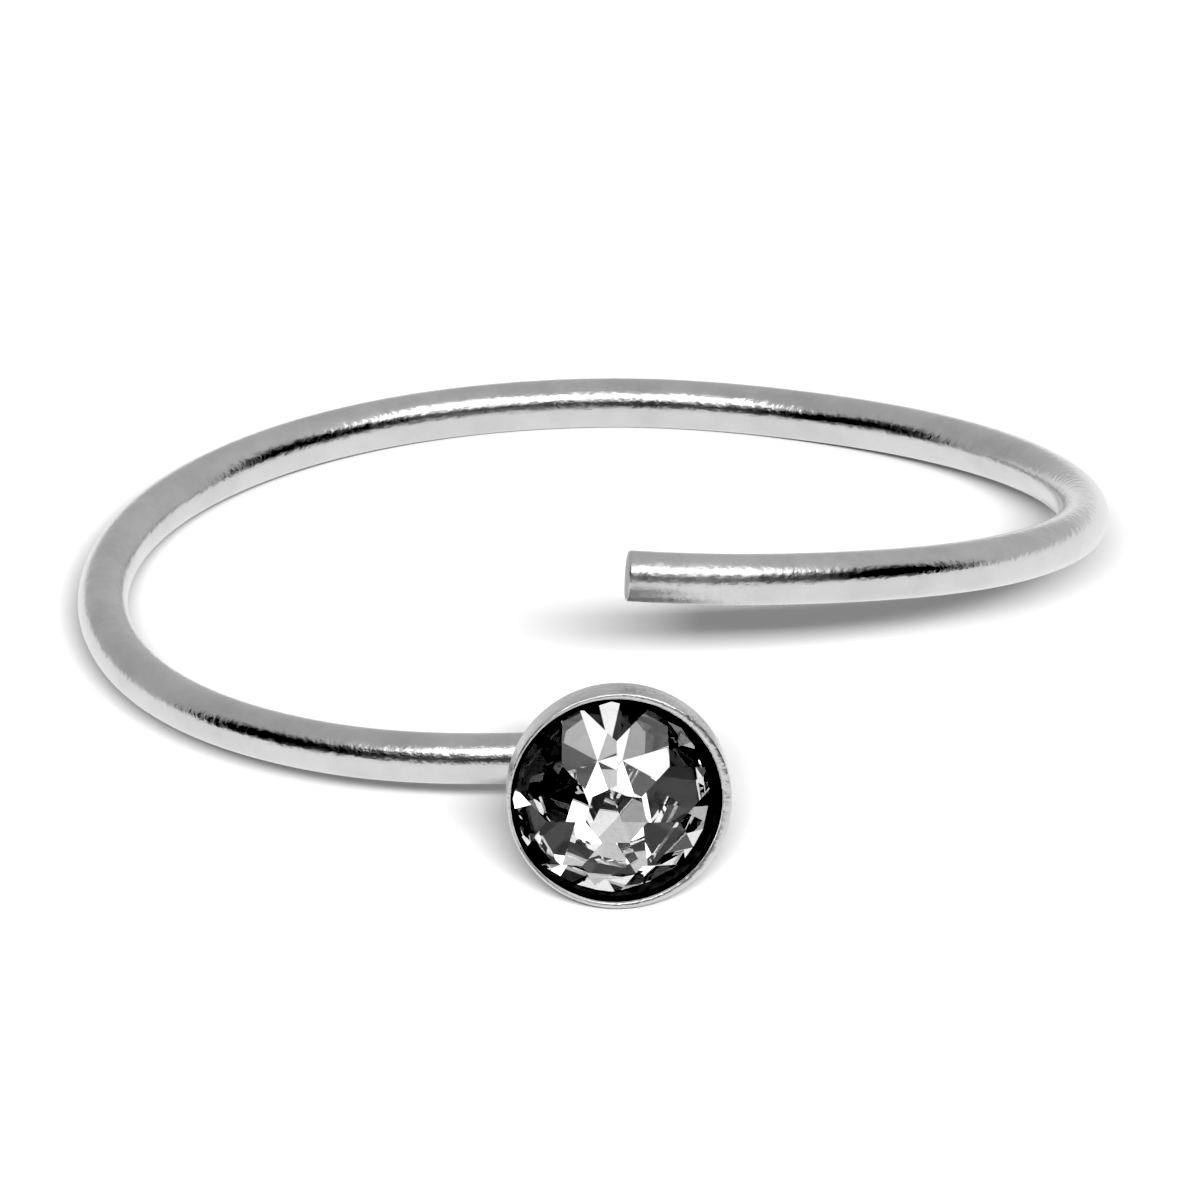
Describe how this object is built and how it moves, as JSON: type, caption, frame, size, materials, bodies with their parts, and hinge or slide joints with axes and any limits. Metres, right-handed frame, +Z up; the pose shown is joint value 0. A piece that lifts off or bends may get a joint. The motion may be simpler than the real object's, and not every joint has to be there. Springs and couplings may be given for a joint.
{
  "type": "nose hoop",
  "caption": "Open wire nose hoop with a round faceted crystal in a bezel cup soldered to one end and a plain cut free end.",
  "frame": {"origin": "under the middle of the footprint, on the surface that the hoop rests on", "axes": "+Z up from that surface, +Y from the cup towards the back of the hoop, +X towards the side where the free end rises"},
  "size_m": [0.0102, 0.012, 0.003],
  "materials": {
    "silver": "drawn silver wire and cup, polished, with fine scratches",
    "crystal": "clear faceted crystal with a mirrored back"
  },
  "bodies": {
    "root": {"hoop": "silver", "stone": "crystal"}
  },
  "joints": []
}
